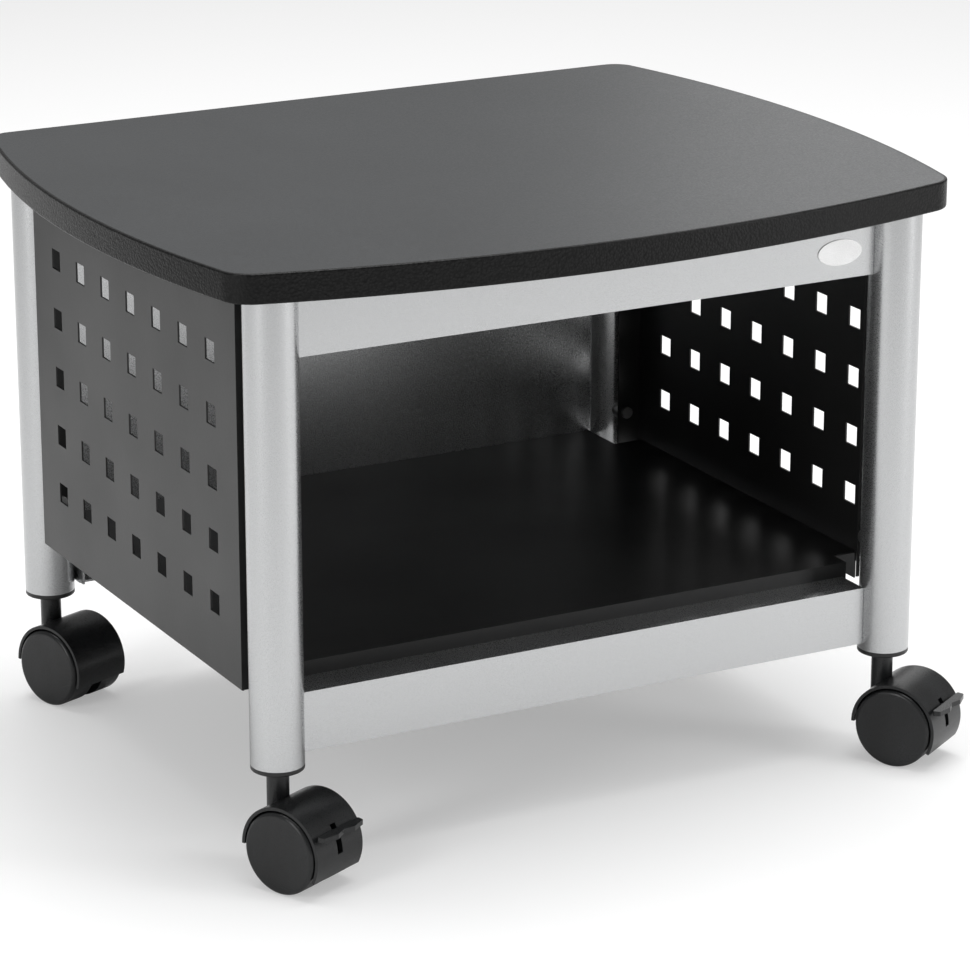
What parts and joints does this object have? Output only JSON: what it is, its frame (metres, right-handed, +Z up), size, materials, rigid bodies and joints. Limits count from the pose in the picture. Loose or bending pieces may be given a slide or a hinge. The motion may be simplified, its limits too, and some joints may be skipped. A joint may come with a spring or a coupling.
{
  "type": "mobile printer stand",
  "caption": "Low rolling stand with a bowed top board on round posts, perforated side panels, a lower shelf and hooded twin-wheel swivel casters, the front pair with brakes.",
  "frame": {"origin": "on the floor, under the middle of the board's outline", "axes": "+X to the stand's right along its width, +Y towards its back, +Z up"},
  "size_m": [0.5144, 0.4209, 0.3683],
  "materials": {
    "laminate_board": "satin",
    "edge_plastic": "matte",
    "silver_paint": "satin",
    "black_paint": "satin",
    "black_plastic": "matte",
    "caster_plastic": "satin",
    "zinc_steel": "satin",
    "badge_plastic": "gloss",
    "chrome_steel": "polished"
  },
  "bodies": {
    "stand_frame": {"top_board": "laminate_board", "edge_band": "edge_plastic", "post_front_left": "silver_paint", "post_front_right": "silver_paint", "post_rear_left": "silver_paint", "post_rear_right": "silver_paint", "post_cap_front_left": "black_plastic", "post_cap_front_right": "black_plastic", "post_cap_rear_left": "black_plastic", "post_cap_rear_right": "black_plastic", "front_top_rail": "silver_paint", "rear_top_rail": "silver_paint", "front_bottom_rail": "silver_paint", "rear_bottom_rail": "silver_paint", "side_panel_left": "black_paint", "side_panel_right": "black_paint", "side_panel_spacers": "zinc_steel", "side_panel_screws": "zinc_steel", "rail_bolts": "zinc_steel", "board_screws": "zinc_steel", "back_panel_screws": "zinc_steel", "shelf_screws": "zinc_steel", "shelf_tray": "black_paint", "back_panel": "silver_paint", "badge_plate": "badge_plastic", "caster_stem_front_left": "chrome_steel", "caster_stem_front_right": "chrome_steel", "caster_stem_rear_left": "chrome_steel", "caster_stem_rear_right": "chrome_steel"},
    "caster_front_left": {"caster_hood_front_left": "caster_plastic", "caster_axle_front_left": "zinc_steel", "brake_pin_front_left": "zinc_steel"},
    "wheel_front_left_left": {"caster_wheel_front_left_left": "caster_plastic"},
    "wheel_front_left_right": {"caster_wheel_front_left_right": "caster_plastic"},
    "brake_front_left": {"brake_lever_front_left": "caster_plastic"},
    "caster_front_right": {"caster_hood_front_right": "caster_plastic", "caster_axle_front_right": "zinc_steel", "brake_pin_front_right": "zinc_steel"},
    "wheel_front_right_left": {"caster_wheel_front_right_left": "caster_plastic"},
    "wheel_front_right_right": {"caster_wheel_front_right_right": "caster_plastic"},
    "brake_front_right": {"brake_lever_front_right": "caster_plastic"},
    "caster_rear_left": {"caster_hood_rear_left": "caster_plastic", "caster_axle_rear_left": "zinc_steel"},
    "wheel_rear_left_left": {"caster_wheel_rear_left_left": "caster_plastic"},
    "wheel_rear_left_right": {"caster_wheel_rear_left_right": "caster_plastic"},
    "caster_rear_right": {"caster_hood_rear_right": "caster_plastic", "caster_axle_rear_right": "zinc_steel"},
    "wheel_rear_right_left": {"caster_wheel_rear_right_left": "caster_plastic"},
    "wheel_rear_right_right": {"caster_wheel_rear_right_right": "caster_plastic"}
  },
  "joints": [
    {"name": "swivel_front_left", "type": "hinge", "parent": "stand_frame", "child": "caster_front_left", "pos_m": [-0.2083, -0.1603, 0.0574], "axis": [0, 0, 1], "continuous": true},
    {"name": "roll_front_left_left", "type": "hinge", "parent": "caster_front_left", "child": "wheel_front_left_left", "pos_m": [-0.20074, -0.17608, 0.025], "axis": [0.9018, 0.4321, 0], "continuous": true},
    {"name": "roll_front_left_right", "type": "hinge", "parent": "caster_front_left", "child": "wheel_front_left_right", "pos_m": [-0.20074, -0.17608, 0.025], "axis": [0.9018, 0.4321, 0], "continuous": true},
    {"name": "brake_front_left", "type": "hinge", "parent": "caster_front_left", "child": "brake_front_left", "pos_m": [-0.19728, -0.1833, 0.031], "axis": [0.9018, 0.4321, 0], "range_deg": [0, 14]},
    {"name": "swivel_front_right", "type": "hinge", "parent": "stand_frame", "child": "caster_front_right", "pos_m": [0.2083, -0.1603, 0.0574], "axis": [0, 0, 1], "continuous": true},
    {"name": "roll_front_right_left", "type": "hinge", "parent": "caster_front_right", "child": "wheel_front_right_left", "pos_m": [0.21757, -0.17514, 0.025], "axis": [0.848, 0.5299, 0], "continuous": true},
    {"name": "roll_front_right_right", "type": "hinge", "parent": "caster_front_right", "child": "wheel_front_right_right", "pos_m": [0.21757, -0.17514, 0.025], "axis": [0.848, 0.5299, 0], "continuous": true},
    {"name": "brake_front_right", "type": "hinge", "parent": "caster_front_right", "child": "brake_front_right", "pos_m": [0.22181, -0.18193, 0.031], "axis": [0.848, 0.5299, 0], "range_deg": [0, 14]},
    {"name": "swivel_rear_left", "type": "hinge", "parent": "stand_frame", "child": "caster_rear_left", "pos_m": [-0.2083, 0.1839, 0.0574], "axis": [0, 0, 1], "continuous": true},
    {"name": "roll_rear_left_left", "type": "hinge", "parent": "caster_rear_left", "child": "wheel_rear_left_left", "pos_m": [-0.20174, 0.16767, 0.025], "axis": [0.9272, 0.3746, 0], "continuous": true},
    {"name": "roll_rear_left_right", "type": "hinge", "parent": "caster_rear_left", "child": "wheel_rear_left_right", "pos_m": [-0.20174, 0.16767, 0.025], "axis": [0.9272, 0.3746, 0], "continuous": true},
    {"name": "swivel_rear_right", "type": "hinge", "parent": "stand_frame", "child": "caster_rear_right", "pos_m": [0.2083, 0.1839, 0.0574], "axis": [0, 0, 1], "continuous": true},
    {"name": "roll_rear_right_left", "type": "hinge", "parent": "caster_rear_right", "child": "wheel_rear_right_left", "pos_m": [0.2157, 0.16804, 0.025], "axis": [0.9063, 0.4226, 0], "continuous": true},
    {"name": "roll_rear_right_right", "type": "hinge", "parent": "caster_rear_right", "child": "wheel_rear_right_right", "pos_m": [0.2157, 0.16804, 0.025], "axis": [0.9063, 0.4226, 0], "continuous": true}
  ]
}
